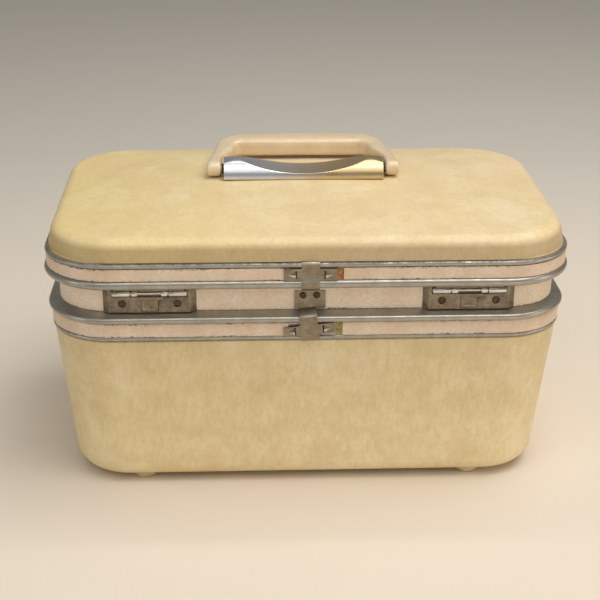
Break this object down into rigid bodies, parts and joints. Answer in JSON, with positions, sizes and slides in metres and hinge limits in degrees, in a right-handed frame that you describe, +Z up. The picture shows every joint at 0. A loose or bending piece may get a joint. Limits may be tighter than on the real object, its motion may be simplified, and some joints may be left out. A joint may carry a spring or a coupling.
{
  "type": "makeup train case",
  "caption": "Hard-shell makeup train case: deep tapered base, shallow domed lid, aluminium trim rings, rear hinges, front latches, bail handle, lift-out tray and lid mirror.",
  "frame": {"origin": "on the floor under the middle of the case", "axes": "+Z up, +Y towards the latches, -Y towards the hinges, +X along the case's length"},
  "size_m": [0.345, 0.2166, 0.2017],
  "materials": {
    "shell_vinyl": "textured warm ivory, fine pebble grain",
    "trim_aluminium": "satin extruded",
    "inlay_vinyl": "grained pinkish ivory strip",
    "foot_plastic": "cream moulded",
    "lining_satin": "dusty pink satin",
    "tray_card": "covered board",
    "hinge_steel": "aged nickel plate",
    "pin_steel": "bright drawn wire",
    "rusty_steel": "rusted rivet head",
    "cover_aluminium": "dull pressed sheet",
    "latch_steel": "satin nickel plate",
    "latch_chrome": "polished",
    "mirror_silver": "silvered glass",
    "mirror_rim": "cream moulded rim",
    "saddle_chrome": "satin brushed",
    "plate_steel": "mill finish",
    "bail_plastic": "cream moulded, polished",
    "tray_plastic": "vacuum-formed, flocked look"
  },
  "bodies": {
    "base": {"body_shell": "shell_vinyl", "body_frame": "trim_aluminium", "body_inlay": "inlay_vinyl", "neck_band": "inlay_vinyl", "feet": "foot_plastic", "body_lining": "lining_satin", "tray_ledges": "tray_card", "hinge_plate_left": "hinge_steel", "hinge_plate_right": "hinge_steel", "hinge_stop_left": "hinge_steel", "hinge_stop_right": "hinge_steel", "hinge_pin_left": "pin_steel", "hinge_pin_right": "pin_steel", "hinge_rivets": "rusty_steel", "joint_cover_lower": "cover_aluminium", "joint_cover_rivets": "rusty_steel", "latch_base_left": "latch_steel", "latch_base_right": "latch_steel", "latch_spring_left": "pin_steel", "latch_spring_right": "pin_steel", "latch_rivets": "rusty_steel"},
    "lid": {"lid_shell": "shell_vinyl", "lid_frame": "trim_aluminium", "lid_inlay": "inlay_vinyl", "joint_cover_upper": "cover_aluminium", "lid_lining": "lining_satin", "mirror_frame": "mirror_rim", "mirror_glass": "mirror_silver", "hinge_leaf_left": "hinge_steel", "hinge_leaf_right": "hinge_steel", "hasp_bracket_left": "latch_steel", "hasp_bracket_right": "latch_steel", "hasp_pin_left": "pin_steel", "hasp_pin_right": "pin_steel", "handle_saddle": "saddle_chrome", "handle_plate": "plate_steel", "handle_screws": "pin_steel", "handle_pins": "pin_steel", "handle_washers": "pin_steel"},
    "bail": {"handle_bail": "bail_plastic"},
    "hasp_left": {"hasp_left": "latch_chrome"},
    "hasp_right": {"hasp_right": "latch_chrome"},
    "latch_slide_left": {"latch_slide_left": "latch_chrome"},
    "latch_slide_right": {"latch_slide_right": "latch_chrome"},
    "lock_plug_left": {"lock_plug_left": "latch_chrome"},
    "lock_plug_right": {"lock_plug_right": "latch_chrome"},
    "tray": {"tray": "tray_plastic", "tray_dividers": "tray_plastic"}
  },
  "joints": [
    {"name": "lid_hinge", "type": "hinge", "parent": "base", "child": "lid", "pos_m": [0, -0.101, 0.1434], "axis": [1, 0, 0], "range_deg": [0, 95]},
    {"name": "bail_pivot", "type": "hinge", "parent": "lid", "child": "bail", "pos_m": [0, 0.0005, 0.1942], "axis": [1, 0, 0], "range_deg": [0, 175]},
    {"name": "hasp_left_pivot", "type": "hinge", "parent": "lid", "child": "hasp_left", "pos_m": [-0.102, 0.101, 0.144], "axis": [1, 0, 0], "range_deg": [0, 95]},
    {"name": "latch_slide_left_travel", "type": "slide", "parent": "base", "child": "latch_slide_left", "axis": [-1, 0, 0], "range_m": [0, 0.004], "stiffness_N_per_m": 200, "springref_m": -0.002, "deforming": ["latch_spring_left"]},
    {"name": "lock_plug_left_turn", "type": "hinge", "parent": "base", "child": "lock_plug_left", "pos_m": [-0.0777, 0.1, 0.13765], "axis": [0, 1, 0], "range_deg": [0, 90]},
    {"name": "hasp_right_pivot", "type": "hinge", "parent": "lid", "child": "hasp_right", "pos_m": [0.102, 0.101, 0.144], "axis": [1, 0, 0], "range_deg": [0, 95]},
    {"name": "latch_slide_right_travel", "type": "slide", "parent": "base", "child": "latch_slide_right", "axis": [1, 0, 0], "range_m": [0, 0.004], "stiffness_N_per_m": 200, "springref_m": -0.002, "deforming": ["latch_spring_right"]},
    {"name": "lock_plug_right_turn", "type": "hinge", "parent": "base", "child": "lock_plug_right", "pos_m": [0.0777, 0.1, 0.13765], "axis": [0, 1, 0], "range_deg": [0, 90]},
    {"name": "tray_lift", "type": "slide", "parent": "base", "child": "tray", "axis": [0, 0, 1], "range_m": [0, 0.02]}
  ]
}
